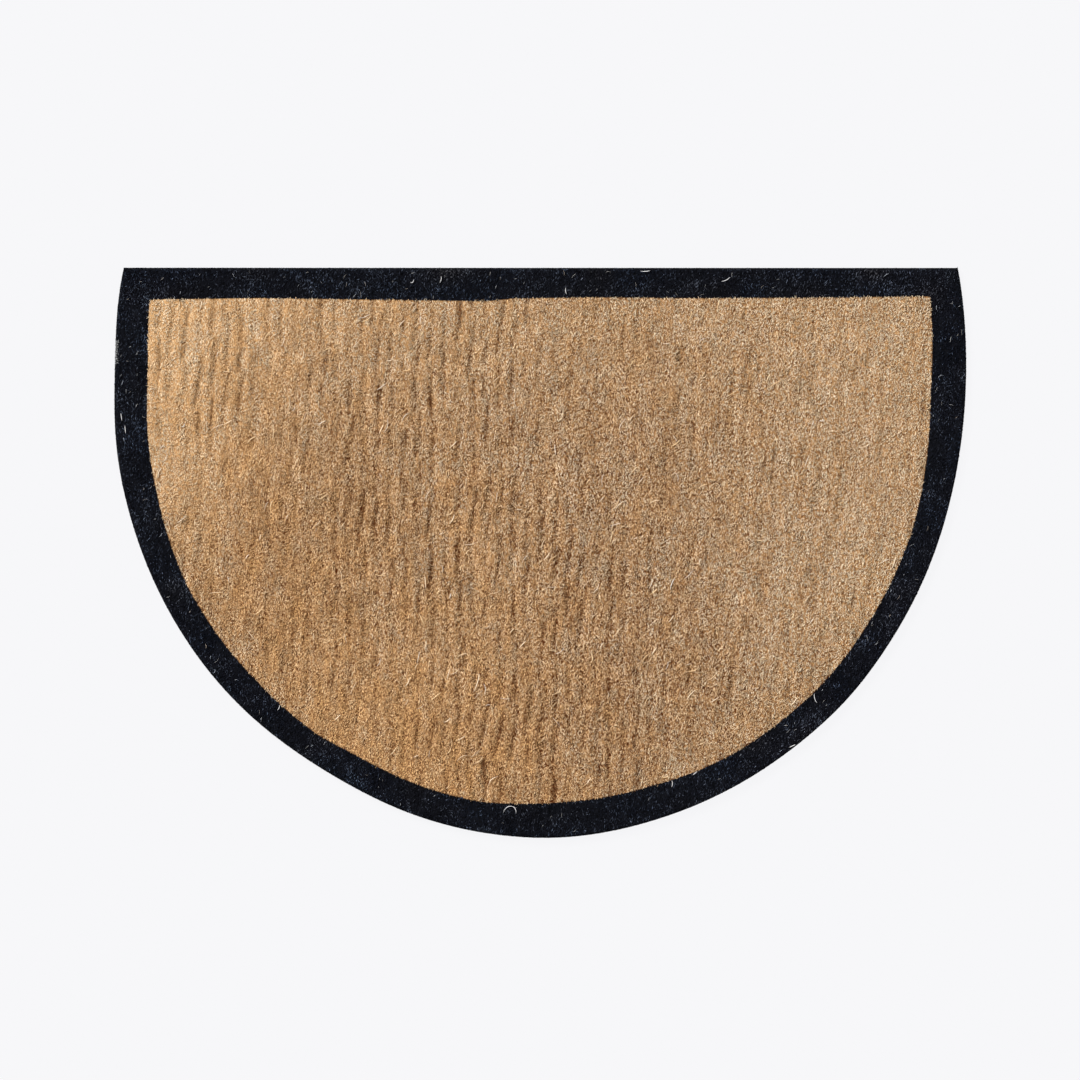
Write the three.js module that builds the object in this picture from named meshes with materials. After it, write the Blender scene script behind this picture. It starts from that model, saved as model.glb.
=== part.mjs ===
// A half round doormat of coir brush pile, lying flat: one piece, cut with a straight edge at the door
// and a bowed edge to the front. Millimetres, +Z up. The origin is under the middle of the mat's bounding
// box, on the ground, with the straight edge along X at the +Y side.
import * as THREE from "three";

const { clamp, degToRad, lerp } = THREE.MathUtils;

// The cut outline
const matWidth = 900; // across the widest place
const matDepth = 601; // from the straight edge to the front of the bow
const widestLine = 118; // how far in front of the straight edge the mat is widest
const bowHalfWidth = 451; // the ellipse that the bow follows: half its width
const bowDepth = 482; // and its depth in front of the widest line

// Where the cut strays from the ellipse: a soft bulge or hollow round each of these places.
// at and spread are degrees round the bow, from the right-hand end (0) past the front (90) to the left.
const rimBumps = [
  { at: -19, spread: 11, rise: 4.2 },
  { at: 10, spread: 16, rise: -2.4 },
  { at: 46, spread: 7, rise: 1.2 },
  { at: 87, spread: 9, rise: 1.6 },
  { at: 118, spread: 12, rise: -3.8 },
  { at: 149, spread: 22, rise: 2.5 },
  { at: 182, spread: 9, rise: -4.3 },
  { at: 193, spread: 22, rise: 2.6 },
];

// The pile
const matThickness = 17; // backing and pile together
const rimTop = matThickness - 0.9; // the pile's height where it starts to fall away at the rim
const rimShoulder = matThickness - 2.6; // its height at the cut rim itself
const rimLean = 2.4; // how far in from the rim it starts to fall
const ribPitch = 14.4; // from one row of pile to the next
const ribDepth = 2.6; // the furrow between two rows, where it is deepest
const faintRib = 0.3; // the part of that depth left where the rows hardly show
const ribSway = 2.4; // how far a furrow wanders sideways
const swayStart = 30; // how far in from the rim it wanders fully

// The waves of that wander: each one's share, how slowly it runs along and across the rows, its start.
const swayWaves = [
  { share: 0.6, along: 31, across: 57, start: 0 },
  { share: 0.4, along: 13, across: -90, start: 1.3 },
];

// Where the rows stand out most, as round patches: place and reach in mm, strength from 0 to 1.
const ribPatches = [
  { x: -350, y: 205, reach: 95, strength: 1.0 },
  { x: -140, y: 190, reach: 140, strength: 0.7 },
  { x: -140, y: 20, reach: 140, strength: 0.7 },
  { x: 0, y: -20, reach: 110, strength: 0.75 },
  { x: -20, y: -220, reach: 120, strength: 0.75 },
];

// How finely the mesh is laid
const rowCount = 20; // steps from the bow to the straight edge
const endSteps = 6; // columns from each corner out to the tip of the bow beside it
const endReach = 0.985; // how far towards the tip the last of those columns stands
const bowStep = 0.5; // degrees between the points of the bow that the columns are cut from

// A point of the bow, seen from the middle of the widest line: the ellipse's radius plus the bumps.
function bowPoint(degrees) {
  const angle = degToRad(degrees);
  const ellipse = 1 / Math.hypot(Math.cos(angle) / bowHalfWidth, Math.sin(angle) / bowDepth);
  const bumps = rimBumps.map(({ at, spread, rise }) => rise * Math.exp(-(((degrees - at) / spread) ** 2)));
  const radius = bumps.reduce((sum, bump) => sum + bump, ellipse);
  return new THREE.Vector2(radius * Math.cos(angle), -radius * Math.sin(angle));
}

// The angle at which the bow meets the straight edge, found by halving between an angle that lies
// beyond the edge and one in front of it.
function cornerAngle(beyond, before) {
  const middle = (beyond + before) / 2;
  if (Math.abs(beyond - before) < 1e-6) return middle;
  return bowPoint(middle).y > widestLine ? cornerAngle(middle, before) : cornerAngle(beyond, middle);
}

// The bow from the left-hand corner round the front to the right-hand one, centred on its box.
function bowLine() {
  const from = cornerAngle(210, 180);
  const to = cornerAngle(-30, 0);
  const steps = Math.ceil((from - to) / bowStep);
  const points = Array.from({ length: steps + 1 }, (_, i) => bowPoint(lerp(from, to, i / steps)));
  const box = new THREE.Box2().setFromPoints(points);
  const scale = new THREE.Vector2(matWidth, matDepth).divide(box.getSize(new THREE.Vector2()));
  const middle = box.getCenter(new THREE.Vector2());
  return points.map((point) => point.sub(middle).multiply(scale));
}

// Where the line x = across cuts a stretch of the bow along which x rises.
function heightAt(stretch, across) {
  const found = stretch.findIndex((point) => point.x >= across);
  const i = clamp(found, 1, stretch.length - 1);
  const share = (across - stretch[i - 1].x) / (stretch[i].x - stretch[i - 1].x);
  return lerp(stretch[i - 1].y, stretch[i].y, share);
}

// Column places: half a rib apart between the corners, then closer and closer out to each tip.
function columnPlaces(corners, tips) {
  const inner = 2 * Math.round((corners[1] - corners[0]) / ribPitch);
  const shares = Array.from({ length: endSteps }, (_, i) =>
    Math.sin(((i + 1) / endSteps) * Math.asin(endReach)),
  );
  return [
    ...shares.map((share) => lerp(corners[0], tips[0], share)).reverse(),
    ...Array.from({ length: inner + 1 }, (_, i) => lerp(corners[0], corners[1], i / inner)),
    ...shares.map((share) => lerp(corners[1], tips[1], share)),
  ];
}

// The outline as columns, each with its place across and where it starts and ends along Y.
function matColumns() {
  const bow = bowLine();
  const xs = bow.map((point) => point.x);
  const leftTip = xs.indexOf(Math.min(...xs));
  const rightTip = xs.indexOf(Math.max(...xs));
  const [left, right] = [xs[0], xs[xs.length - 1]];
  const front = bow.slice(leftTip, rightTip + 1);
  const leftEnd = bow.slice(0, leftTip + 1).reverse();
  const rightEnd = bow.slice(rightTip).reverse();
  return columnPlaces([left, right], [xs[leftTip], xs[rightTip]]).map((x) => {
    let back = matDepth / 2;
    if (x < left) back = heightAt(leftEnd, x);
    if (x > right) back = heightAt(rightEnd, x);
    return { x, front: heightAt(front, x), back };
  });
}

// How strongly the rows show at a place, from faintRib to 1.
function ribStrength(x, y) {
  const found = ribPatches.map(
    (patch) => patch.strength * Math.exp(-((x - patch.x) ** 2 + (y - patch.y) ** 2) / patch.reach ** 2),
  );
  return Math.max(faintRib, ...found);
}

// The sideways wander of the furrows.
function swayAt(x, y) {
  const waves = swayWaves.map(
    ({ share, along, across, start }) => share * Math.sin(y / along + x / across + start),
  );
  return ribSway * waves.reduce((sum, wave) => sum + wave, 0);
}

// The scale that moves a point on the rim in by rimLean, for the mat's size in that direction.
function rimInset(size) {
  return 1 - (2 * rimLean) / size;
}

// A point of the top. Every other column lies in a furrow, and the furrows run straight at the rim.
function topPoint(columns, i, j) {
  const { x, front, back } = columns[i];
  const y = lerp(front, back, j / rowCount);
  const atRim = i === 0 || j === 0 || i === columns.length - 1 || j === rowCount;
  if (atRim) return new THREE.Vector3(x * rimInset(matWidth), y * rimInset(matDepth), rimTop);
  const fromRim = Math.min(y - front, back - y, matWidth / 2 - Math.abs(x));
  const sway = swayAt(x, y) * clamp(fromRim / swayStart, 0, 1);
  const furrow = i % 2 ? ribStrength(x, y) : 0;
  return new THREE.Vector3(x + sway, y, matThickness - ribDepth * furrow);
}

// A point of the top's rim moved out to the cut edge, at another height.
function cutEdge(point, height) {
  return new THREE.Vector3(point.x / rimInset(matWidth), point.y / rimInset(matDepth), height);
}

// The top's points round the rim, anticlockwise: along the bow, up the right-hand end, back along
// the straight edge and down the left-hand end.
function rimOrder(last, perColumn) {
  return [
    ...Array.from({ length: last }, (_, i) => i * perColumn),
    ...Array.from({ length: rowCount }, (_, j) => last * perColumn + j),
    ...Array.from({ length: last }, (_, i) => (last - i) * perColumn + rowCount),
    ...Array.from({ length: rowCount }, (_, j) => rowCount - j),
  ];
}

// The whole mat: a ribbed top, a rounded shoulder, an upright cut edge and a flat underside.
function matGeometry() {
  const columns = matColumns();
  const last = columns.length - 1;
  const perColumn = rowCount + 1;
  const top = columns.flatMap((_, i) =>
    Array.from({ length: perColumn }, (_, j) => topPoint(columns, i, j)),
  );
  const rim = rimOrder(last, perColumn);
  const shoulder = rim.map((at) => cutEdge(top[at], rimShoulder));
  const foot = rim.map((at) => cutEdge(top[at], 0));
  const shoulderStart = top.length;
  const footStart = shoulderStart + rim.length;

  const faces = [];
  const quad = (a, b, c, d) => faces.push(a, b, c, a, c, d);
  for (let i = 0; i < last; i++)
    for (let j = 0; j < rowCount; j++) {
      const near = i * perColumn + j;
      quad(near, near + perColumn, near + perColumn + 1, near + 1);
    }
  rim.forEach((at, k) => {
    const next = (k + 1) % rim.length;
    quad(shoulderStart + k, shoulderStart + next, rim[next], at);
    quad(footStart + k, footStart + next, shoulderStart + next, shoulderStart + k);
  });
  const flatFoot = foot.map((point) => new THREE.Vector2(point.x, point.y));
  for (const [a, b, c] of THREE.ShapeUtils.triangulateShape(flatFoot, []))
    faces.push(footStart + a, footStart + c, footStart + b);

  const geometry = new THREE.BufferGeometry().setFromPoints([...top, ...shoulder, ...foot]);
  geometry.setIndex(faces);
  geometry.computeVertexNormals();
  return geometry;
}

// Natural coir, a dry and matt fibre. The dark rim is dye in the same pile, so it has no shape.
function coir() {
  return new THREE.MeshStandardMaterial({ name: "coir", color: 0xab8965, roughness: 0.95, metalness: 0 });
}

const doormat = new THREE.Group();
doormat.name = "half_round_doormat";
const mat = new THREE.Mesh(matGeometry(), coir());
mat.name = "mat";
doormat.add(mat);

export default doormat;
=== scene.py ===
import math

import bpy
import numpy as np
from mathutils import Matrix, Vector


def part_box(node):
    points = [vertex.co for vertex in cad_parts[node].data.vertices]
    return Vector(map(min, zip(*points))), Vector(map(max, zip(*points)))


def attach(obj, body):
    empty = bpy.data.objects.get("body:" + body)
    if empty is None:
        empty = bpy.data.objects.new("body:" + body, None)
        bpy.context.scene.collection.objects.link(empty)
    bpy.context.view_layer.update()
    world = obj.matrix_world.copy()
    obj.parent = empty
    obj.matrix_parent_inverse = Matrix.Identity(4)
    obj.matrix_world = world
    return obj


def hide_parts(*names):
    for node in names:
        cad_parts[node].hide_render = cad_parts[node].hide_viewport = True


# A half round doormat of coir brush pile, seen from straight above: tan coconut fibre, dyed black round
# the rim. Sizes are in millimetres here and become metres when a mesh is made.
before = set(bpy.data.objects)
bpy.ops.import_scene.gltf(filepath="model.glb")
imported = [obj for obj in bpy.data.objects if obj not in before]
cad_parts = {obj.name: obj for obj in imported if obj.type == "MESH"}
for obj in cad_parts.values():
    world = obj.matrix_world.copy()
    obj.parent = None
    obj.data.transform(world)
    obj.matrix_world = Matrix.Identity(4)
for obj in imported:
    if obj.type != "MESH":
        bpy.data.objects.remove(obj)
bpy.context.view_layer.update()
mm = 0.001
lowCorner, highCorner = [np.array(corner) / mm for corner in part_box("mat")]
pileHeight = highCorner[2]
straightEdge = highCorner[1]
print("frame loaded: mat of", (highCorner - lowCorner).round(1), "mm")

# The cut outline: a straight edge and a bow that follows an ellipse, with soft bulges and hollows
cut = {
    "widestLine": 118.0,  # how far in front of the straight edge the mat is widest
    "bowHalfWidth": 451.0,
    "bowDepth": 482.0,
    "turns": (-16, 197, 4001),  # degrees from just past one corner to past the other, and points
    # each bump's place and spread in degrees round the bow from the right-hand end, and its rise
    "bumps": [(-19, 11, 4.2), (10, 16, -2.4), (46, 7, 1.2), (87, 9, 1.6),
              (118, 12, -3.8), (149, 22, 2.5), (182, 9, -4.3), (193, 22, 2.6)],
}


def bowReach(turn):
    # the ellipse's polar radius at a turn in degrees, plus a bell curve for each bump
    angle = np.radians(turn)
    reach = 1 / np.hypot(np.cos(angle) / cut["bowHalfWidth"], np.sin(angle) / cut["bowDepth"])
    for at, spread, rise in cut["bumps"]:
        reach = reach + rise * np.exp(-(((turn - at) / spread) ** 2))
    return reach


def cutLine():
    # the bow from the right-hand corner round the front to the left-hand one, with the middle of the
    # widest line placed so that the mat's box is centred
    turns = np.linspace(*cut["turns"])
    x, y = bowReach(turns) * np.cos(np.radians(turns)), -bowReach(turns) * np.sin(np.radians(turns))
    middle = np.array([-(x.min() + x.max()) / 2, straightEdge - cut["widestLine"]])
    kept = y <= cut["widestLine"]
    return np.stack([x[kept], y[kept]], 1) + middle, middle


bow, bowMiddle = cutLine()
rightCorner, leftCorner = bow[0, 0], bow[-1, 0]


def roundBow(x, y):
    # polar place of a point as seen from the middle of the widest line: turn in degrees, and distance
    across, along = x - bowMiddle[0], y - bowMiddle[1]
    turn = np.degrees(np.arctan2(-along, across))
    return np.where(turn < -90, turn + 360, turn), np.hypot(across, along)


def insideRim(x, y):
    # how far a point lies inside the cut edge: the nearer of the bow and the straight edge
    turn, distance = roundBow(x, y)
    return np.minimum(bowReach(turn) - distance, straightEdge - y)


# The dyed band, which is uneven: its width round the bow by turn, and along the straight edge by x
dyedBand = {
    "roundBow": [(-15, 33), (-4, 35.8), (2, 37), (14, 32.4), (22, 30), (50, 30.2), (62, 30.6),
                 (68, 32.3), (74, 35.2), (86, 37.2), (91, 36), (98, 31.8), (116, 30.6), (122, 27.8),
                 (134, 31), (150, 29.8), (164, 33.6), (182, 35), (195, 32.5)],
    "alongStraight": [(-412, 33.5), (-300, 32), (-190, 33.4), (-56, 35.3), (-30, 32.4), (60, 31.2),
                       (160, 32.1), (280, 31.6), (412, 30.2)],
}


def insideField(x, y):
    # how far a point lies inside the tan field: as for the rim, with the band's width taken off
    turn, distance = roundBow(x, y)
    bowBand = np.interp(turn, *zip(*dyedBand["roundBow"]))
    straightBand = np.interp(x, *zip(*dyedBand["alongStraight"]))
    return np.minimum(bowReach(turn) - bowBand - distance, straightEdge - straightBand - y)


def softNoise(x, y, cellX, cellY, seed):
    # random numbers on a lattice of cells, blended between the four nearest with smoothstep weights
    u, v = (x - lowCorner[0]) / cellX + 2, (y - lowCorner[1]) / cellY + 2
    column, row = np.floor(u).astype(int), np.floor(v).astype(int)
    lattice = np.random.default_rng(seed).standard_normal((column.max() + 3, row.max() + 3))
    fu, fv = u - column, v - row
    fu, fv = fu * fu * (3 - 2 * fu), fv * fv * (3 - 2 * fv)
    near = lattice[column, row] * (1 - fv) + lattice[column, row + 1] * fv
    far = lattice[column + 1, row] * (1 - fv) + lattice[column + 1, row + 1] * fv
    return near * (1 - fu) + far * fu


def noises(x, y, kinds):
    # the sum of soft noises, each given as its share, its cell across and along in mm, and its seed
    return sum(share * softNoise(x, y, *cell) for share, *cell in kinds)


def bells(x, y, patches):
    # a bell curve round each patch's place within its reach, as one row for each patch
    return [np.exp(-((x - px) ** 2 + (y - py) ** 2) / reach**2) for px, py, reach, *_ in patches]


# The rows of the pile, which run from the bow to the straight edge with a furrow between each two
rows = {
    "pitch": 14.4,
    "depth": 2.6,  # of a furrow where it is deepest
    "width": 2.9,  # half the width of a furrow
    "sway": 2.4,  # how far a furrow wanders sideways
    "swayStart": 30,  # how far in from the rim it wanders fully
    "waves": [(0.6, 31, 57, 0), (0.4, 13, -90, 1.3)],  # share, mm along, mm across, start
    "uneven": [(1.0, 22, 80, 12)],  # how the pitch differs: share, mm across, mm along, seed
    "stroke": 62,  # a furrow is a chain of slanting strokes of this length
    "strokeSeed": 19,
    "strokeFade": 0.4,  # the share of its depth that a stroke loses at its ends
    "slant": 0.08,  # how far a stroke runs to the right for each mm that it goes back
    "faint": 0.26,  # the share of the depth left where the rows hardly show
    "unbroken": 0.9,  # the share of their strength that the rows keep on average
    "breaks": [(0.28, 1, 70, 11), (0.22, 0.5, 15, 13)],  # share, rows across, mm along, seed
    "breakRange": (0.2, 1.5),
    # where the rows stand out: x, y, reach, strength
    "patches": [(-350, 205, 95, 1.0), (-130, 190, 180, 0.7), (-130, 0, 180, 0.7), (0, -20, 120, 0.8),
                (-20, -220, 140, 0.8)],
}
rowSpacing = (rightCorner - leftCorner) / round((rightCorner - leftCorner) / rows["pitch"])


def nearestFurrow(x, y):
    # how far a point lies to the right of the nearest furrow, in mm, and its place from -1 to 1 along
    # that furrow's stroke; place / 2 times length and slant is how far the stroke has run aside there
    sway = rows["sway"] * sum(share * np.sin(y / along + x / across + start)
                              for share, along, across, start in rows["waves"])
    sway = sway + noises(x, y, rows["uneven"])
    calm = np.clip(insideRim(x, y) / rows["swayStart"], 0, 1)
    inRow = (x - sway * calm - leftCorner) / rowSpacing
    number = np.floor(inRow).astype(int)
    starts = np.random.default_rng(rows["strokeSeed"]).random(number.max() - number.min() + 3)
    asides, places = [], []
    for beside in (-1, 0, 1):
        place = (y / rows["stroke"] + starts[number - number.min() + 1 + beside]) % 1 * 2 - 1
        shift = place / 2 * rows["stroke"] * rows["slant"] * calm
        asides.append((inRow - number - beside - 0.5) * rowSpacing - shift)
        places.append(place)
    nearest = np.abs(asides).argmin(axis=0)[None]
    return [np.take_along_axis(np.array(values), nearest, 0)[0] for values in (asides, places)]


def rowStrength(x, y):
    # the strongest of the patches' bell curves times their strengths, but at least faint; that times the
    # unbroken share plus noise, which breaks each row slowly and in short dashes
    strongest = [patch[3] * bell for patch, bell in zip(rows["patches"], bells(x, y, rows["patches"]))]
    strength = np.maximum(rows["faint"], np.max(strongest, axis=0))
    broken = noises(x, y, [(share, across * rowSpacing, *cell) for share, across, *cell in rows["breaks"]])
    return strength * np.clip(rows["unbroken"] + broken, *rows["breakRange"])


def furrow(x, y):
    # a bell curve across each furrow, times the rows' strength; it fades towards the ends of a stroke by
    # the sixth power of the place along it
    aside, place = nearestFurrow(x, y)
    fade = 1 - rows["strokeFade"] * place**6
    return rowStrength(x, y) * fade * np.exp(-((aside / rows["width"]) ** 2))


# The cut rim, where the pile's top rounds off
rim = {"fall": 2.6, "lean": 2.4}


def pileTop(x, y):
    # the solid's height, less the furrows, and near the cut less a fall by the square of the way out
    rimFall = rim["fall"] * (1 - np.clip(insideRim(x, y) / rim["lean"], 0, 1)) ** 2
    return pileHeight - rows["depth"] * furrow(x, y) - rimFall


def makeMesh(name, points, faces, smooth=True):
    # a mesh object in metres from arrays of points in mm and of triangles or quads
    sides = faces.shape[1]
    mesh = bpy.data.meshes.new(name)
    mesh.vertices.add(len(points))
    mesh.vertices.foreach_set("co", (points * mm).astype(np.float32).ravel())
    mesh.loops.add(faces.size)
    mesh.loops.foreach_set("vertex_index", faces.astype(np.int32).ravel())
    mesh.polygons.add(len(faces))
    mesh.polygons.foreach_set("loop_start", np.arange(0, faces.size, sides, dtype=np.int32))
    mesh.polygons.foreach_set("use_smooth", np.full(len(faces), smooth))
    mesh.update(calc_edges=True)
    return addObject(name, mesh)


def addObject(name, data):
    # a new object in the scene that holds the data
    piece = bpy.data.objects.new(name, data)
    bpy.context.scene.collection.objects.link(piece)
    return piece


def giveValues(piece, **values):
    # stores one number for each point under each name
    for name, numbers in values.items():
        layer = piece.data.attributes.new(name, "FLOAT", "POINT")
        layer.data.foreach_set("value", np.asarray(numbers, np.float32).ravel())


def linear(red, green, blue):
    # a screen colour from 0 to 255 as the linear colour that nodes take
    shares = np.array([red, green, blue]) / 255
    return [*np.where(shares <= 0.04045, shares / 12.92, ((shares + 0.055) / 1.055) ** 2.4).tolist(), 1.0]


def ramp(tree, value, low, high, atLow, atHigh):
    # a straight ramp from atLow to atHigh as value goes from low to high, level outside
    node = tree.nodes.new("ShaderNodeMapRange")
    tree.links.new(value, node.inputs["Value"])
    for name, number in (("From Min", low), ("From Max", high), ("To Min", atLow), ("To Max", atHigh)):
        node.inputs[name].default_value = number
    return node.outputs["Result"]


def blend(tree, share, first, second, way="MIX"):
    # first mixed with second by share; each is a socket or a plain value
    node = tree.nodes.new("ShaderNodeMix")
    node.data_type = "RGBA"
    node.blend_type = way
    for socket, value in zip((node.inputs[0], node.inputs[6], node.inputs[7]), (share, first, second)):
        if isinstance(value, bpy.types.NodeSocket):
            tree.links.new(value, socket)
        else:
            socket.default_value = value
    return node.outputs[2]


# The colour of the fibres, as one node group for field, rim, strands and bed
def fibreTintGroup():
    # Colour runs from dark through body to pale as tone goes from 0 to 1, is multiplied by a tint
    # between cool and warm by warmth, and by painted shade between the root's shade colour and white by
    # rise, so that fibres are painted darker and browner towards their roots, where the pile shades them
    group = bpy.data.node_groups.new("fibreTint", "ShaderNodeTree")
    for name in ("Tone", "Warmth", "Rise"):
        group.interface.new_socket(name, in_out="INPUT", socket_type="NodeSocketFloat")
    for name in ("Dark", "Body", "Pale", "Cool tint", "Warm tint", "Painted root shade"):
        group.interface.new_socket(name, in_out="INPUT", socket_type="NodeSocketColor")
    group.interface.new_socket("Colour", in_out="OUTPUT", socket_type="NodeSocketColor")
    given = group.nodes.new("NodeGroupInput").outputs
    lower = blend(group, ramp(group, given["Tone"], 0.0, 0.5, 0.0, 1.0), given["Dark"], given["Body"])
    whole = blend(group, ramp(group, given["Tone"], 0.5, 1.0, 0.0, 1.0), lower, given["Pale"])
    tint = blend(group, given["Warmth"], given["Cool tint"], given["Warm tint"])
    shade = blend(group, given["Rise"], given["Painted root shade"], (1.0, 1.0, 1.0, 1.0))
    shaded = blend(group, 1.0, blend(group, 1.0, whole, tint, "MULTIPLY"), shade, "MULTIPLY")
    out = group.nodes.new("NodeGroupOutput")
    group.links.new(shaded, out.inputs["Colour"])
    return group


tintGroup = fibreTintGroup()
coirColours = {
    "Dark": linear(84, 48, 22),
    "Body": linear(214, 196, 162),
    "Pale": linear(240, 229, 203),
    "Cool tint": linear(252, 251, 255),
    "Warm tint": linear(255, 222, 180),
    # the colour that painted shade brings a fibre to at its root, deep in the pile
    "Painted root shade": linear(185, 169, 151),
}
dyedColours = {
    "Dark": linear(4, 4, 6),
    "Body": linear(27, 29, 37),
    "Pale": linear(146, 155, 172),
    "Cool tint": linear(218, 235, 255),
    "Warm tint": linear(255, 240, 225),
    # the same painted root shade for the dyed fibres
    "Painted root shade": linear(170, 170, 170),
}
strandColours = {
    "Dark": linear(176, 158, 134),
    "Body": linear(234, 220, 198),
    "Pale": linear(255, 252, 244),
    "Cool tint": linear(205, 224, 255),
    "Warm tint": linear(255, 232, 195),
    # the painted shade that a strand's sunk end darkens towards
    "Painted root shade": linear(215, 215, 215),
}


def addTint(tree, colours, **sources):
    # a tint group with its own colours, and its tone, warmth and rise linked or set
    node = tree.nodes.new("ShaderNodeGroup")
    node.node_tree = tintGroup
    for name, value in colours.items():
        node.inputs[name].default_value = value
    for name, source in sources.items():
        if isinstance(source, bpy.types.NodeSocket):
            tree.links.new(source, node.inputs[name])
        else:
            node.inputs[name].default_value = source
    return node.outputs["Colour"]


def plainMaterial(name, roughness, gloss):
    # a material with its Principled shader, ready for its nodes; where nodes set the roughness, the
    # number given is about its middle
    material = bpy.data.materials.new(name)
    material.use_nodes = True
    shader = material.node_tree.nodes["Principled BSDF"]
    shader.inputs["Roughness"].default_value = roughness
    shader.inputs["Specular IOR Level"].default_value = gloss
    return material, material.node_tree, shader


def readValue(tree, name):
    # the number that a piece holds at each point under this name
    node = tree.nodes.new("ShaderNodeAttribute")
    node.attribute_name = name
    return node.outputs["Fac"]


# Pale fibres are a little smoother: tone from and to, and the roughness at each of them
fibreRoughness = (0.2, 1.0, 0.92, 0.62)


def fibreMaterial(name, colours, gloss):
    # tone, warmth and rise come from the fibres themselves
    material, tree, shader = plainMaterial(name, roughness=0.8, gloss=gloss)
    tone = readValue(tree, "tone")
    colour = addTint(tree, colours, Tone=tone, Warmth=readValue(tree, "warmth"), Rise=readValue(tree, "rise"))
    tree.links.new(colour, shader.inputs["Base Color"])
    tree.links.new(ramp(tree, tone, *fibreRoughness), shader.inputs["Roughness"])
    return material


# How light and how warm the field is in places: x, y, reach, lightness, warmth
shades = [(-425, 255, 150, 0.3, -0.1), (-410, 80, 85, 0.11, 0.0), (-120, 310, 150, 0.13, -0.1),
          (150, 300, 110, 0.06, -0.1), (370, 220, 130, 0.06, -0.4), (350, -20, 160, 0.05, -0.45),
          (-280, 40, 150, -0.02, 0.32), (-150, -260, 190, 0.05, 0.55), (-60, -20, 110, 0.06, 0.05),
          (60, -130, 150, -0.045, 0.08), (90, 130, 100, -0.03, 0.05)]


def fieldLight(x, y):
    # the sum of the places' bell curves, each times its lightness
    return sum(shade[3] * bell for shade, bell in zip(shades, bells(x, y, shades)))


# The bed: the dense foot of the pile with its backing, which the fibres stand in
bed = {
    "belowTop": 2.7,  # how far the bed lies under the tips
    "lumps": [(0.35, 5, 9, 21)],  # height, mm across, mm along, seed
    "stepsPerRow": 5,
    "stepsAlong": 64,  # from the bow to the straight edge, closest at both
    "stepsOut": 8,  # from each corner to the tip beside it
    "endReach": 0.985,  # how far round the quarter turn to that tip the last step stands
    "wallSteps": 4,
    "paintedFurrowShade": 0.2,  # how much painted shade darkens it in a furrow
    "farthest": 25,  # the distance from the field's line is kept up to this
    "backing": 2.0,  # height of the backing
    "backingColour": linear(46, 44, 42),
    "soft": 0.4,  # half the width of the dyed line, and the height over which the backing ends
    "crumb": 700,  # bumps to a metre
    "crumbDetail": 2,
    "crumbStretch": (1.0, 0.45, 0.25),
    # the crumb's tone stays low: partly the foot's own dark brown, partly painted shade between the fibres
    "crumbTone": (0.32, 0.7, 0.0, 0.4),  # from and to in the noise, from and to in tone
    "crumbRoughness": (0.3, 0.7, 1.0, 0.8),  # likewise, to roughness
    "crumbHeight": 0.6,
    "bump": 0.6,  # the share of that height which shows
    "warmth": 0.5,
}


def bedCrumb(tree, place):
    # fine noise, stretched along the rows and upwards
    stretch = tree.nodes.new("ShaderNodeMapping")
    stretch.inputs["Scale"].default_value = bed["crumbStretch"]
    tree.links.new(place, stretch.inputs["Vector"])
    crumb = tree.nodes.new("ShaderNodeTexNoise")
    tree.links.new(stretch.outputs["Vector"], crumb.inputs["Vector"])
    crumb.inputs["Scale"].default_value = bed["crumb"]
    crumb.inputs["Detail"].default_value = bed["crumbDetail"]
    return crumb.outputs["Fac"]


def bedMaterial():
    # the dense foot of the pile: fine crumb plus the light and painted furrow shade given at each point,
    # dyed outside the line where the distance into the field is zero, over a plain dark backing in its
    # lowest millimetres. Its low tone and the full painted root shade at rise 0 are partly its own dark
    # brown and partly painted shade down among the fibres
    material, tree, shader = plainMaterial("coirBed", roughness=0.95, gloss=0.04)
    place = tree.nodes.new("ShaderNodeTexCoord").outputs["Object"]
    crumb = bedCrumb(tree, place)
    tone = ramp(tree, crumb, *bed["crumbTone"])
    # the crumb's tone plus the field's lighter and darker places, less painted shade in the furrows
    lighter = tree.nodes.new("ShaderNodeMath")
    tree.links.new(tone, lighter.inputs[0])
    tree.links.new(readValue(tree, "light"), lighter.inputs[1])
    # rise 0 gives the bed the full painted root shade
    tan = addTint(tree, coirColours, Tone=lighter.outputs[0], Warmth=bed["warmth"], Rise=0.0)
    dyed = addTint(tree, dyedColours, Tone=tone, Warmth=bed["warmth"], Rise=0.0)
    inField = ramp(tree, readValue(tree, "inField"), -bed["soft"], bed["soft"], 0.0, 1.0)
    height = tree.nodes.new("ShaderNodeSeparateXYZ")
    tree.links.new(place, height.inputs["Vector"])
    low, high = bed["backing"] * mm, (bed["backing"] + bed["soft"]) * mm
    aboveBacking = ramp(tree, height.outputs["Z"], low, high, 0.0, 1.0)
    colour = blend(tree, aboveBacking, bed["backingColour"], blend(tree, inField, dyed, tan))
    tree.links.new(colour, shader.inputs["Base Color"])
    tree.links.new(ramp(tree, crumb, *bed["crumbRoughness"]), shader.inputs["Roughness"])
    bump = tree.nodes.new("ShaderNodeBump")
    bump.inputs["Strength"].default_value = bed["bump"]
    bump.inputs["Distance"].default_value = bed["crumbHeight"] * mm
    tree.links.new(crumb, bump.inputs["Height"])
    tree.links.new(bump.outputs["Normal"], shader.inputs["Normal"])
    return material


def bedColumns():
    # places across: even between the corners, then closer and closer out to the tips, by the sine of
    # even turns
    outwards = np.sin(np.linspace(0, bed["endReach"] * math.pi / 2, bed["stepsOut"] + 1))[1:]
    left = leftCorner + (lowCorner[0] - leftCorner) * outwards[::-1]
    right = rightCorner + (highCorner[0] - rightCorner) * outwards
    across = round((rightCorner - leftCorner) / rowSpacing) * bed["stepsPerRow"]
    return np.concatenate([left, np.linspace(leftCorner, rightCorner, across + 1), right])


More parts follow.
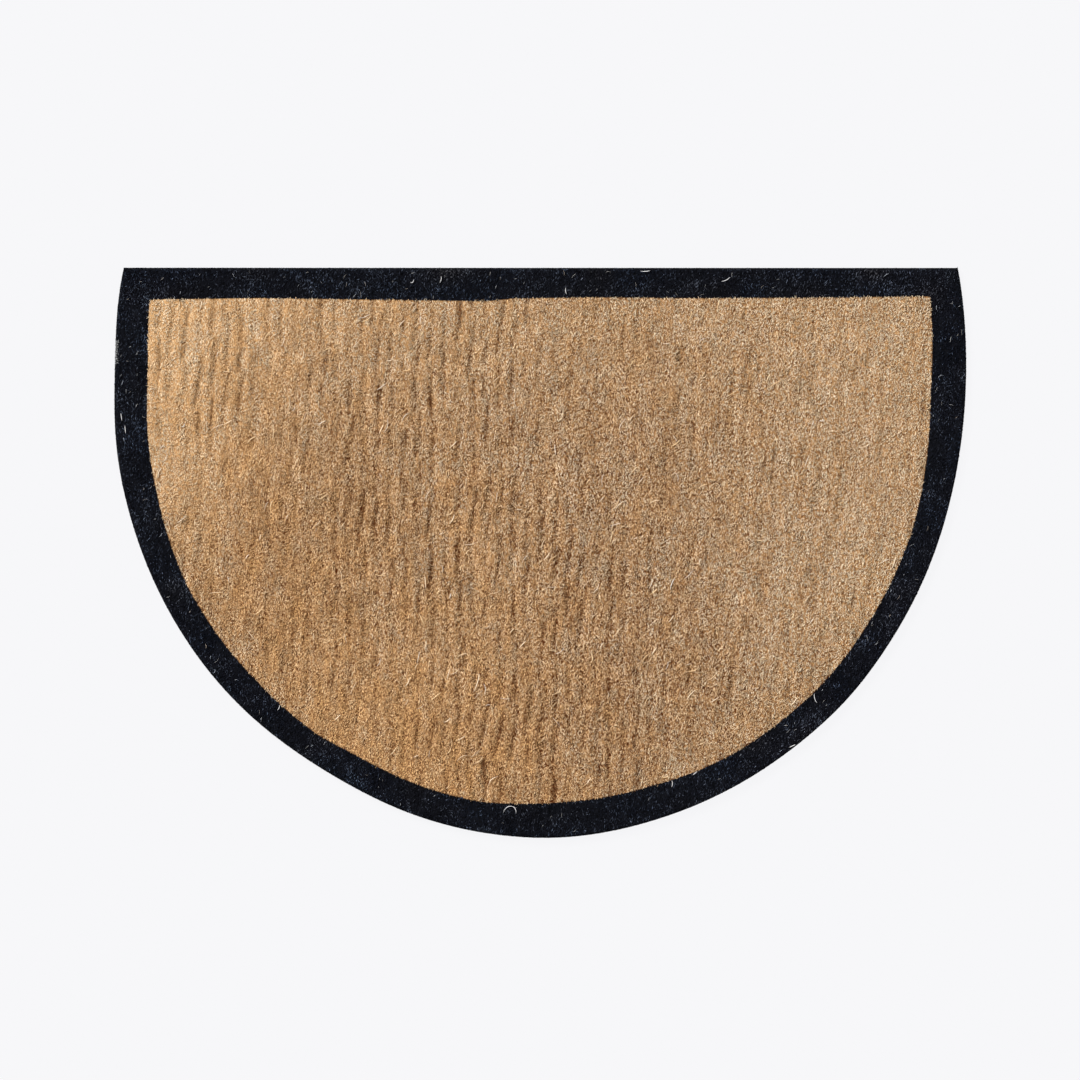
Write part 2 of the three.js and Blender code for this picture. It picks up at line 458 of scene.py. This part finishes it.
def bowHeights(x):
    # where the line at each x meets the bow: in front of the widest line and, near the ends, behind it
    rightTip, leftTip = bow[:, 0].argmax(), bow[:, 0].argmin()
    front = np.interp(x, *bow[rightTip:leftTip + 1][::-1].T)
    back = np.where(x > rightCorner, np.interp(x, *bow[:rightTip + 1].T), straightEdge)
    return front, np.where(x < leftCorner, np.interp(x, *bow[leftTip:].T), back)


def bedTop():
    # columns of points from the bow to the straight edge, at the pile's top less the bed's depth plus
    # lumps; a cosine of even turns sets them closest at both ends
    columns = bedColumns()
    front, back = bowHeights(columns)
    share = (1 - np.cos(np.linspace(0, math.pi, bed["stepsAlong"] + 1))) / 2
    x = np.repeat(columns[:, None], len(share), 1)
    y = front[:, None] + (back - front)[:, None] * share
    return np.stack([x, y, pileTop(x, y) - bed["belowTop"] + noises(x, y, bed["lumps"])], 2)


def footFaces(foot, last, perColumn):
    # strips across the underside from the bow's foot to the straight edge's, and one face at each end
    front, back = foot[:last + 1], np.roll(foot, -(last + perColumn - 1))[:last + 1][::-1]
    strips = np.stack([front[:-1], back[:-1], back[1:], front[1:]], 1)[1:-1]
    rightEnd, leftEnd = foot[last:last + perColumn], np.append(foot[-perColumn + 1:], foot[0])
    return [*strips.tolist(), [front[-2], back[-2], *rightEnd[::-1].tolist()],
            [*leftEnd[::-1].tolist(), back[1], front[1]]]


def makeBed():
    # the bed's top, a wall down from its outer ring, and an underside, which alone is shaded flat
    grid = bedTop()
    top = grid.reshape(-1, 3)
    at = np.arange(len(top)).reshape(grid.shape[:2])
    ring = np.concatenate([at[:-1, 0], at[-1, :-1], at[:0:-1, -1], at[0, :0:-1]])
    levels = 1 - np.arange(1, bed["wallSteps"] + 1) / bed["wallSteps"]
    walls = [top[ring] * [1, 1, level] for level in levels]
    rings = [ring] + [len(top) + step * len(ring) + np.arange(len(ring)) for step in range(len(levels))]
    quads = np.stack([at[:-1, :-1], at[1:, :-1], at[1:, 1:], at[:-1, 1:]], 2).reshape(-1, 4)
    sides = [np.stack([lower, np.roll(lower, -1), np.roll(upper, -1), upper], 1)
             for upper, lower in zip(rings, rings[1:])]
    rounded = np.concatenate([quads, *sides]).tolist()
    faces = rounded + footFaces(rings[-1], len(grid) - 1, grid.shape[1])
    points = np.concatenate([top, *walls])
    mesh = bpy.data.meshes.new("bed")
    mesh.from_pydata((points * mm).tolist(), [], faces)
    mesh.polygons.foreach_set("use_smooth", np.arange(len(faces)) < len(rounded))
    piece = addObject("bed", mesh)
    x, y = points[:, :2].T
    inField = np.clip(insideField(x, y), -bed["farthest"], bed["farthest"])
    # the field's lighter and darker places, less painted shade in the furrows
    giveValues(piece, inField=inField, light=fieldLight(x, y) - bed["paintedFurrowShade"] * furrow(x, y))
    piece.data.materials.append(bedMaterial())
    return piece


# The fibres
pile = {
    "spacing": 1.42,  # between neighbouring fibres
    "sunk": 0.7,  # how far their roots lie in the bed
    "halfWidth": 0.49,  # of a fibre at its root
    "widthSpread": 0.2,  # by chance, within the range below
    "widthRange": (0.5, 1.5),
    "uneven": 0.35,  # how much the tips' heights differ
    "highest": 1.0,  # how far above the solid a tip may stand
    "run": 2.7,  # how far a tip lies from its root, seen from above
    "runSpread": 0.4,  # likewise
    "runRange": (0.2, 1.9),
    "heading": 12,  # the side it leans to, in degrees clockwise from +Y
    "headingSpread": 33,
    "forward": 0.6,  # the share of fibres that lean that way; the others lean the opposite way
    "swirl": 0.7,  # the part of the lean that neighbours share
    "swirlCell": (8, 14),  # mm across and along
    "rowLean": 1.0,  # how far tips lean over towards a furrow
    "overRim": 0.7,  # how far a tip may stand out over the cut edge
    "dyeSpread": 0.5,  # how far dyed and undyed fibres mix at the field's line
    "strips": 4,  # pieces of the tan field, side by side
    "seeds": {"root": 1, "lean": 2, "width": 3, "tone": 4, "warmth": 5, "turn": 6, "dye": 12, "dyedTurn": 13},
}

# Where the pile is most open, with more dark gaps between its fibres: x, y, reach
openPlace = [(0, -20, 260)]


def scatterRoots(spacing, seed):
    # one root at random in each square of a lattice over the mat's box, kept if it is inside the cut
    rng = np.random.default_rng(seed)
    x, y = np.meshgrid(np.arange(lowCorner[0], highCorner[0], spacing),
                       np.arange(lowCorner[1], highCorner[1], spacing), indexing="ij")
    x = (x + spacing * rng.random(x.shape)).ravel()
    y = (y + spacing * rng.random(y.shape)).ravel()
    kept = insideRim(x, y) > 0
    return x[kept], y[kept]


def standFibres(x, y, seed):
    # a tip stands at the pile's top, a run away from its root along the fibre's own heading;
    # neighbours share a part of the run, and beside a furrow tips lean over it; a tip that would stand
    # out over the cut leans inwards instead, or else hardly leans
    rng = np.random.default_rng(seed)
    heading = np.radians(pile["heading"] + pile["headingSpread"] * rng.standard_normal(len(x)))
    stretch = np.clip(1 + pile["runSpread"] * rng.standard_normal(len(x)), *pile["runRange"])
    run = np.where(rng.random(len(x)) < pile["forward"], pile["run"] * stretch, -pile["run"] * stretch)
    towards = -np.sin(2 * math.pi * nearestFurrow(x, y)[0] / rowSpacing)
    runX = run * np.sin(heading) + noises(x, y, [(pile["swirl"], *pile["swirlCell"], seed + 1)])
    runX = runX + pile["rowLean"] * rowStrength(x, y) * towards
    runY = run * np.cos(heading) + noises(x, y, [(pile["swirl"], *pile["swirlCell"], seed + 2)])
    for share in (-1, 0.1):
        out = insideRim(x + runX, y + runY) < -pile["overRim"]
        runX, runY = [np.where(out, side * share, side) for side in (runX, runY)]
    root = np.stack([x, y, pileTop(x, y) - bed["belowTop"] - pile["sunk"]], 1)
    height = pileTop(x + runX, y + runY) + pile["uneven"] * rng.standard_normal(len(x))
    tip = np.stack([x + runX, y + runY, np.minimum(height, pileHeight + pile["highest"])], 1)
    return root, tip


def spikes(root, tip, halfWidth, seed):
    # for each fibre a level triangle round the root, turned by chance, and the tip above it: four
    # points and four faces, the last of them closing the foot
    rng = np.random.default_rng(seed)
    turn = rng.random(len(root))[:, None] * 2 * math.pi + np.arange(3) * 2 * math.pi / 3
    around = np.stack([np.cos(turn), np.sin(turn), np.zeros_like(turn)], 2) * halfWidth[:, None, None]
    points = np.concatenate([root[:, None] + around, tip[:, None]], 1)
    corners = np.array([[0, 1, 3], [1, 2, 3], [2, 0, 3], [0, 2, 1]])
    faces = 4 * np.arange(len(root))[:, None, None] + corners
    return points.reshape(-1, 3), faces.reshape(-1, 3)


# The fibres' colour map: tone runs across it, and warmth goes up it in bands, each from root to tip
tintMap = {
    "bands": 12,
    "margin": 0.02,
    "cell": 0.004,  # half the width of a fibre's sliver
    "foot": 0.12,  # where a sliver starts within its band
    "height": 0.76,
    "notch": 0.04,  # how far the middle point of a sliver's foot hangs down
}


def layTintMap(piece, tone, warmth, rise, side):
    # each fibre lies as a narrow upright sliver where its tone and its band meet, so that fibres which
    # share a place share a colour; side tells a fibre's points apart
    band = np.floor(warmth * tintMap["bands"])
    u = tintMap["margin"] + (1 - 2 * tintMap["margin"]) * tone + tintMap["cell"] * side
    inBand = tintMap["foot"] + tintMap["height"] * rise - tintMap["notch"] * (side == 0)
    v = (band + inBand) / tintMap["bands"]
    corner = np.empty(len(piece.data.loops), np.int32)
    piece.data.loops.foreach_get("vertex_index", corner)
    layer = piece.data.uv_layers.new(name="OFBake")
    layer.uv.foreach_set("vector", np.stack([u, v], 1)[corner].astype(np.float32).ravel())


def dressFibres(piece, tone, warmth, rise, side, material):
    # gives each point its fibre's tone and warmth, which is that of the middle of its band, its own rise
    # and its place on the colour map
    each = len(piece.data.vertices) // len(tone)
    tone = np.repeat(np.clip(tone, 0, 1), each)
    band = np.clip(np.floor(warmth * tintMap["bands"]), 0, tintMap["bands"] - 1)
    warmth = np.repeat((band + 0.5) / tintMap["bands"], each)
    rise, side = [np.tile(values, len(tone) // each) for values in (rise, side)]
    layTintMap(piece, tone, warmth, rise, side)
    giveValues(piece, tone=tone, warmth=warmth, rise=rise)
    piece.data.materials.append(material)
    return piece


def fibrePiece(name, root, tip, halfWidth, tone, warmth, material, seed):
    # one joined mesh of fibres, where rise is 0 at the three points of a foot and 1 at the tip; the
    # lower the rise, the more painted root shade
    piece = makeMesh(name, *spikes(root, tip, halfWidth, seed))
    print(name, "has", len(root), "fibres")
    return dressFibres(piece, tone, warmth, [0.0, 0.0, 0.0, 1.0], [-1, 0, 1, 0], material)


# The tan field's look: tone from 0, dark, to 1, pale, and warmth from 0, cool, to 1, warm. Noises are
# given as share, cell across and along, and seed
fieldLook = {
    "tone": 0.67,
    "spread": 0.09,  # of chance from fibre to fibre
    "openSpread": 0.3,  # how much more that is in the open place
    "skew": 0.2,  # how far chance reaches more to the dark side
    "clumps": [(0.05, 2.2, 4.2, 31), (0.02, 26, 70, 33)],
    "streaks": [(0.15, 1.6, 14, 34), (0.12, 2.3, 55, 32)],
    "streakSlant": 0.14,
    "paintedRidgeLight": 0.16,  # how much paler the ridge beside a furrow is painted, as painted light on its flank towards the sun
    "ridgeAside": 4.2,
    "ridgeWidth": 2.0,
    "furrow": 0.6,  # how much darker a furrow is painted, as painted shade
    "warmth": 0.28,
    "warmthSpread": 0.03,
    "warmClumps": [(0.14, 8, 22, 41), (0.09, 4, 9, 42), (0.08, 24, 50, 43)],
    "warmFurrow": 0.1,
}


def fieldTone(x, y, seed):
    # middling tan, scattered by chance and more to the dark side, streaked along the rows, with painted
    # shade in the furrows and painted light on the ridge to their right, whose flank faces the sun, and
    # with the lighter and darker places of shades
    chance = np.random.default_rng(seed).standard_normal(len(x))
    spread = fieldLook["spread"] + fieldLook["openSpread"] * bells(x, y, openPlace)[0]
    tone = fieldLook["tone"] + spread * (chance - fieldLook["skew"] * (chance**2 - 1))
    slanted = x + fieldLook["streakSlant"] * (highCorner[1] - y)
    tone += noises(x, y, fieldLook["clumps"]) + noises(slanted, y, fieldLook["streaks"])
    # painted light on the ridge to the right of each furrow, whose flank faces the sun
    aside = (nearestFurrow(x, y)[0] - fieldLook["ridgeAside"]) / fieldLook["ridgeWidth"]
    tone += fieldLook["paintedRidgeLight"] * rowStrength(x, y) * np.exp(-(aside**2))
    # painted shade in the furrows, and the lighter and darker places of shades
    return tone - fieldLook["furrow"] * furrow(x, y) + fieldLight(x, y)


def fieldWarmth(x, y, seed):
    # middling warmth, in clumps and a little by chance, warmer in the furrows
    chance = np.random.default_rng(seed).standard_normal(len(x))
    warmth = fieldLook["warmth"] + fieldLook["warmthSpread"] * chance
    warmth += noises(x, y, fieldLook["warmClumps"]) + fieldLook["warmFurrow"] * furrow(x, y)
    return warmth + sum(shade[4] * bell for shade, bell in zip(shades, bells(x, y, shades)))


# The dyed band's look, in the same terms
dyedLook = {
    "tone": 0.42,
    "spread": 0.11,
    "clumps": [(0.045, 8, 8, 51), (0.04, 36, 30, 53)],
    "paintedGlinting": 0.035,  # the share of fibres given painted glints, partly fibres that took less dye
    "paintedGlint": 0.35,  # how much paler the palest painted glint is
    "warmth": 0.25,
    "warmthSpread": 0.2,
    "warmClumps": [(0.3, 32, 26, 52)],
}


def dyedTone(x, y, seed):
    # near black, lighter and bluer in places, with paler specks on some fibres that are painted glints,
    # partly fibres that took less dye
    rng = np.random.default_rng(seed)
    paintedGlinting = rng.random(len(x)) > 1 - dyedLook["paintedGlinting"]
    paintedGlint = np.where(paintedGlinting, dyedLook["paintedGlint"] * rng.random(len(x)), 0)
    tone = dyedLook["tone"] + dyedLook["spread"] * rng.standard_normal(len(x)) + paintedGlint
    warmth = dyedLook["warmth"] + dyedLook["warmthSpread"] * rng.random(len(x))
    return tone + noises(x, y, dyedLook["clumps"]), warmth + noises(x, y, dyedLook["warmClumps"])


def makePile():
    # the tan field in strips side by side, and the dyed band round it; a fibre is dyed, light or warm
    # as the place under its middle is
    seeds = pile["seeds"]
    x, y = scatterRoots(pile["spacing"], seeds["root"])
    root, tip = standFibres(x, y, seeds["lean"])
    middle = (root + tip)[:, :2].T / 2
    rng = np.random.default_rng(seeds["width"])
    stretch = np.clip(1 + pile["widthSpread"] * rng.standard_normal(len(x)), *pile["widthRange"])
    halfWidth = pile["halfWidth"] * stretch
    inField = insideField(*middle) > pile["dyeSpread"] * rng.standard_normal(len(x))
    strip = np.searchsorted(np.quantile(x[inField], np.arange(1, pile["strips"]) / pile["strips"]), x)
    tone, warmth = fieldTone(*middle, seeds["tone"]), fieldWarmth(*middle, seeds["warmth"])
    made = []
    for number in range(pile["strips"]):
        chosen = inField & (strip == number)
        made.append(fibrePiece(f"tanPile{number + 1}", root[chosen], tip[chosen], halfWidth[chosen],
                               tone[chosen], warmth[chosen], coirMaterial, seeds["turn"] + number))
    chosen = ~inField
    dye = dyedTone(*middle[:, chosen], seeds["dye"])
    made.append(fibrePiece("dyedPile", root[chosen], tip[chosen], halfWidth[chosen], *dye,
                           dyedMaterial, seeds["dyedTurn"]))
    return made


# The cut edge, where fibres stand side by side from the backing to the top
cutEdge = {
    "fibres": 7000,
    "inside": -0.2,  # how far inside the cut line the roots stand, so here they stand just outside it
    "tipInside": (-0.3, 0.2),  # the same for the tips, from and to
    "foot": 2.4,  # height of the lowest roots
    "footSpread": 1.5,
    "belowTop": 1.2,  # how far under the pile's top the tips end on average
    "uneven": 0.8,  # how much that differs
    "highest": -0.5,  # how far above the solid a tip may stand
    "lean": 1.1,  # how far a tip stands aside along the cut
    "halfWidth": 0.5,
    "widths": (0.7, 1.2),  # least and most, as shares of it
    "seeds": {"place": 14, "dye": 15, "turn": 16},
}


def between(ends, rng, count):
    # numbers at random from the first end to the second, each as likely as the others
    return ends[0] + (ends[1] - ends[0]) * rng.random(count)


def makeCutEdge():
    # fibres spread evenly along the cut line by its length, each rooted beside it and leaning along it;
    # a step of a millimetre along the line gives its heading
    rng = np.random.default_rng(cutEdge["seeds"]["place"])
    line = np.concatenate([bow, bow[:1]])
    length = np.concatenate([[0], np.cumsum(np.hypot(*np.diff(line, axis=0).T))])
    at = (np.arange(cutEdge["fibres"]) + rng.random(cutEdge["fibres"])) / cutEdge["fibres"] * length[-1]
    place = np.stack([np.interp(at, length, side) for side in line.T], 1)
    ahead = np.stack([np.interp((at + 1) % length[-1], length, side) for side in line.T], 1) - place
    ahead /= np.hypot(*ahead.T)[:, None]
    inwards = np.stack([-ahead[:, 1], ahead[:, 0]], 1) * np.where(line[1, 1] < line[0, 1], -1, 1)
    root = place + inwards * cutEdge["inside"]
    tip = place + inwards * between(cutEdge["tipInside"], rng, len(at))[:, None]
    tip = tip + ahead * (cutEdge["lean"] * rng.standard_normal(len(at)))[:, None]
    low = cutEdge["foot"] + cutEdge["footSpread"] * rng.random(len(at))
    high = pileTop(*root.T) - cutEdge["belowTop"] + cutEdge["uneven"] * rng.standard_normal(len(at))
    high = np.minimum(high, pileHeight + cutEdge["highest"])
    halfWidth = cutEdge["halfWidth"] * between(cutEdge["widths"], rng, len(at))
    dye = dyedTone(*root.T, cutEdge["seeds"]["dye"])
    root, tip = np.column_stack([root, low]), np.column_stack([tip, high])
    return fibrePiece("cutEdge", root, tip, halfWidth, *dye, dyedMaterial, cutEdge["seeds"]["turn"])


# Loose pale strands that lie on the pile
strands = {
    "rings": 7,
    "seed": 17,
    "heading": 33,  # degrees clockwise from +Y
    "headingSpread": 30,
    "bendSpread": 0.1,
    "widths": (0.7, 1.2),  # least and most, as shares of the half width
    "toneSpread": 0.25,
    "warmthSpread": 0.2,
    "fromLine": 3,  # how far they stay from the line between field and band
    "fromCut": 4,
    "tries": 12,  # places tried for each one that is kept
    "lift": 0.45,  # how far a strand lies above the pile before its ends are sunk
    "rootSunk": 1.3,  # how much lower its first end lies
    "tipSunk": 0.3,  # and its last end
    "blunt": 0.06,  # how far from a full point its ends are
    "footRise": 0.3,  # where its first end stands on the way from root to tip, for its colour: how much painted root shade it takes
    "field": {"count": 500, "shortest": 5, "longest": 15, "halfWidth": 0.33, "tone": 0.5, "warmth": 0.8},
    "band": {"count": 130, "shortest": 2.5, "longest": 7, "halfWidth": 0.13, "tone": 0.3, "warmth": 0.0},
    # the ones that stand out: x, y, heading, length, sideways bend as a share of the length
    "placed": [(-33, -270, 70, 15, -0.3), (-27, -271, 150, 8, -0.2), (196, 288, 63, 10, 0.1),
               (290, -154, 164, 10, 0.1), (-438, 130, 174, 8, 0), (139, -244, 2, 7, 0.1),
               (111, 297, 87, 10, 0.05), (-442, 143, 171, 8, 0), (-135, 286, 46, 5, 0.3),
               (27, 276, 172, 7, 0.1), (-105, 288, 12, 7, 0.1), (163, -233, 50, 6, 0),
               (-276, -164, 25, 6, 0.1), (266, -204, 64, 7, 0), (-67, -138, 18, 20, 0.04),
               (373, -11, 18, 14, 0.05), (-168, 130, 25, 11, 0), (-92, 114, 47, 10, 0.05),
               (-358, 261, 12, 9, 0), (-140, -137, 27, 10, 0.1), (-214, -174, 46, 8, 0),
               (138, -70, 35, 9, 0.05), (-98, -177, 52, 8, 0.1), (-19, -97, 43, 11, 0),
               (7, -4, 40, 10, 0.05), (51, -241, 35, 8, 0), (-159, 203, 77, 7, 0.1),
               (120, -104, 35, 9, 0), (-93, 35, 28, 11, 0.08), (268, -157, 36, 11, 0.05)],
    # their half width, tone and warmth
    "placedOnField": (0.42, 0.95, 0.8),
    "placedOnBand": (0.34, 0.97, 0.35),
}

# Fluff caught on the rim, whose middle and half length are in degrees round the bow
fluff = {
    "middle": 183.7,
    "spread": 1.6,
    "count": 70,
    "fromCut": 0.4,
    "depth": 3,
    "headingSpread": 40,
    "lengths": (1.5, 3.0),
    "bendSpread": 0.2,
    "look": (0.13, 0.3, 0.0),  # half width, tone and warmth
}


def scatterStrands(rng, kind, belongs):
    # strands of one kind at random, where they belong; chance squared makes short ones more common
    x = rng.uniform(lowCorner[0], highCorner[0], strands["tries"] * kind["count"])
    y = rng.uniform(lowCorner[1], highCorner[1], strands["tries"] * kind["count"])
    clear = belongs(insideField(x, y)) & (insideRim(x, y) > strands["fromCut"])
    kept = np.flatnonzero(clear)[:kind["count"]]
    heading = strands["heading"] + strands["headingSpread"] * rng.standard_normal(len(kept))
    length = kind["shortest"] + (kind["longest"] - kind["shortest"]) * rng.random(len(kept)) ** 2
    bend = strands["bendSpread"] * rng.standard_normal(len(kept))
    halfWidth = kind["halfWidth"] * between(strands["widths"], rng, len(kept))
    tone = kind["tone"] + strands["toneSpread"] * rng.standard_normal(len(kept))
    warmth = kind["warmth"] + strands["warmthSpread"] * rng.standard_normal(len(kept))
    return np.column_stack([x[kept], y[kept], heading, length, bend, halfWidth, tone, warmth])


def fluffStrands(rng):
    # tiny strands just inside the cut, which chance squared sets closest at the cut itself
    count = fluff["count"]
    turn = fluff["middle"] + fluff["spread"] * rng.uniform(-1, 1, count)
    distance = bowReach(turn) - fluff["fromCut"] - fluff["depth"] * rng.random(count) ** 2
    x = bowMiddle[0] + distance * np.cos(np.radians(turn))
    y = bowMiddle[1] - distance * np.sin(np.radians(turn))
    heading = rng.normal(0, fluff["headingSpread"], count)
    length = between(fluff["lengths"], rng, count)
    bend = rng.normal(0, fluff["bendSpread"], count)
    return np.column_stack([x, y, heading, length, bend, np.tile(fluff["look"], (count, 1))])


def strandPlaces():
    # the placed strands, then scattered ones on the field and on the band, then the fluff at the rim;
    # each is x, y, heading, length, bend, half width, tone and warmth
    rng = np.random.default_rng(strands["seed"])
    placed = np.array(strands["placed"])
    onField = insideField(*placed[:, :2].T)[:, None] > 0
    looks = np.where(onField, strands["placedOnField"], strands["placedOnBand"])
    onTan = scatterStrands(rng, strands["field"], lambda depth: depth > strands["fromLine"])
    onDyed = scatterStrands(rng, strands["band"], lambda depth: depth < -strands["fromLine"])
    return np.concatenate([np.hstack([placed, looks]), onTan, onDyed, fluffStrands(rng)])


def makeStrands():
    # a three-sided tube along each strand: straight along its heading, bowed sideways by a parabola, its
    # ends sunk in the pile by the cube of the way to them, as thick as the root of a half wave's sine
    x, y, heading, length, bend, halfWidth, tone, warmth = strandPlaces().T[:, :, None]
    share = np.linspace(0, 1, strands["rings"])
    heading = np.radians(heading)
    along, sideways = length * (share - 0.5), length * bend * (4 * share * (1 - share) - 0.5)
    px = x + np.sin(heading) * along + np.cos(heading) * sideways
    py = y + np.cos(heading) * along - np.sin(heading) * sideways
    sunk = strands["rootSunk"] * (1 - share) ** 3 + strands["tipSunk"] * share**3
    pz = pileTop(px, py) + strands["lift"] - sunk
    taper = strands["blunt"] + (1 - 2 * strands["blunt"]) * share
    thick = halfWidth * np.sqrt(np.sin(math.pi * taper))
    centre = np.stack([px, py, pz], 2)[:, :, None]
    turn = np.radians([90, 210, 330])
    right = np.stack([np.cos(heading), -np.sin(heading), 0 * heading], 2)[:, :, None]
    around = right * np.cos(turn)[:, None] + np.array([0, 0, 1]) * np.sin(turn)[:, None]
    points = (centre + around * thick[:, :, None, None]).reshape(-1, 3)
    last = 3 * (strands["rings"] - 1)
    faces = [[0, 1, 2], [last + 2, last + 1, last]]
    for ring in range(0, last, 3):
        for near, far in ((0, 1), (1, 2), (2, 0)):
            a, b = ring + near, ring + far
            faces += [[a, a + 3, b + 3], [a, b + 3, b]]
    faces = 3 * strands["rings"] * np.arange(len(x))[:, None, None] + np.array(faces)
    piece = makeMesh("looseStrands", points, faces.reshape(-1, 3))
    rise = np.repeat(strands["footRise"] + (1 - strands["footRise"]) * share, 3)
    side = np.tile([-1, 0, 1], strands["rings"])
    print("loose strands:", len(x))
    return dressFibres(piece, tone.ravel(), warmth.ravel(), rise, side, strandMaterial)


# The picture: pale floor, soft light, and a camera straight above
view = {
    "frameWidth": 1139.5,  # what the picture shows across at the pile's top
    "centre": (-0.3, 13.3),
    "distance": 9000.0,
    "sensor": 36.0,
    "farthest": 100,  # metres that the camera sees
    "surroundings": 0.7,  # light on a level face, from all round and from the sun
    "sun": 1.75,
    "sunTilt": (-30, -28),  # degrees about X and Y
    "sunWidth": 20,
    "floorSide": 20000,
    "floorColour": linear(247, 247, 249),
    "glow": 0.97,  # the share of the floor's brightness that it gives off itself, as a lit table does
}


def makeStage():
    # a level floor that is clear from below, so that the underside can be looked at; what the glow leaves
    # of its colour is divided by the light it gets, so that both together make that colour
    points = np.array([[-1, -1, 0], [1, -1, 0], [1, 1, 0], [-1, 1, 0]], float) * view["floorSide"] / 2
    floor = makeMesh("floor", points, np.array([[0, 1, 2, 3]]), smooth=False)
    material, tree, shader = plainMaterial("paleFloor", roughness=1.0, gloss=0.0)
    share = (1 - view["glow"]) / (view["surroundings"] + view["sun"])
    shader.inputs["Base Color"].default_value = [part * share for part in view["floorColour"][:3]] + [1.0]
    shader.inputs["Emission Color"].default_value = view["floorColour"]
    shader.inputs["Emission Strength"].default_value = view["glow"]
    clear = tree.nodes.new("ShaderNodeBsdfTransparent")
    either = tree.nodes.new("ShaderNodeMixShader")
    tree.links.new(tree.nodes.new("ShaderNodeNewGeometry").outputs["Backfacing"], either.inputs["Fac"])
    tree.links.new(shader.outputs["BSDF"], either.inputs[1])
    tree.links.new(clear.outputs["BSDF"], either.inputs[2])
    tree.links.new(either.outputs["Shader"], tree.nodes["Material Output"].inputs["Surface"])
    floor.data.materials.append(material)


def makeLight():
    # an even sky and one wide sun from the upper left; the sun's strength is the light that a level
    # face gets, times pi, over the cosine of its tilt
    world = bpy.data.worlds.new("studio")
    world.use_nodes = True
    world.node_tree.nodes["Background"].inputs["Color"].default_value = (1, 1, 1, 1)
    world.node_tree.nodes["Background"].inputs["Strength"].default_value = view["surroundings"]
    bpy.context.scene.world = world
    sun = addObject("softSun", bpy.data.lights.new("softSun", "SUN"))
    tilt = [math.radians(angle) for angle in view["sunTilt"]]
    sun.data.energy = view["sun"] * math.pi / (math.cos(tilt[0]) * math.cos(tilt[1]))
    sun.data.angle = math.radians(view["sunWidth"])
    sun.rotation_euler = (*tilt, 0)


def makeCamera():
    # lens length = sensor width times distance over the width that is shown
    camera = addObject("camera", bpy.data.cameras.new("camera"))
    camera.data.sensor_width = view["sensor"]
    camera.data.lens = view["sensor"] * view["distance"] / view["frameWidth"]
    camera.data.clip_end = view["farthest"]
    camera.location = np.array([*view["centre"], pileHeight + view["distance"]]) * mm
    bpy.context.scene.camera = camera
    bpy.context.scene.view_settings.view_transform = "Standard"


makeStage()
makeLight()
makeCamera()
print("stage set")

coirMaterial = fibreMaterial("coirPile", coirColours, gloss=0.1)
dyedMaterial = fibreMaterial("dyedPile", dyedColours, gloss=0.04)
strandMaterial = fibreMaterial("looseStrands", strandColours, gloss=0.25)
matBed = makeBed()
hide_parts("mat")
pilePieces = [*makePile(), makeCutEdge(), makeStrands()]
for piece in [matBed, *pilePieces]:
    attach(piece, "root")
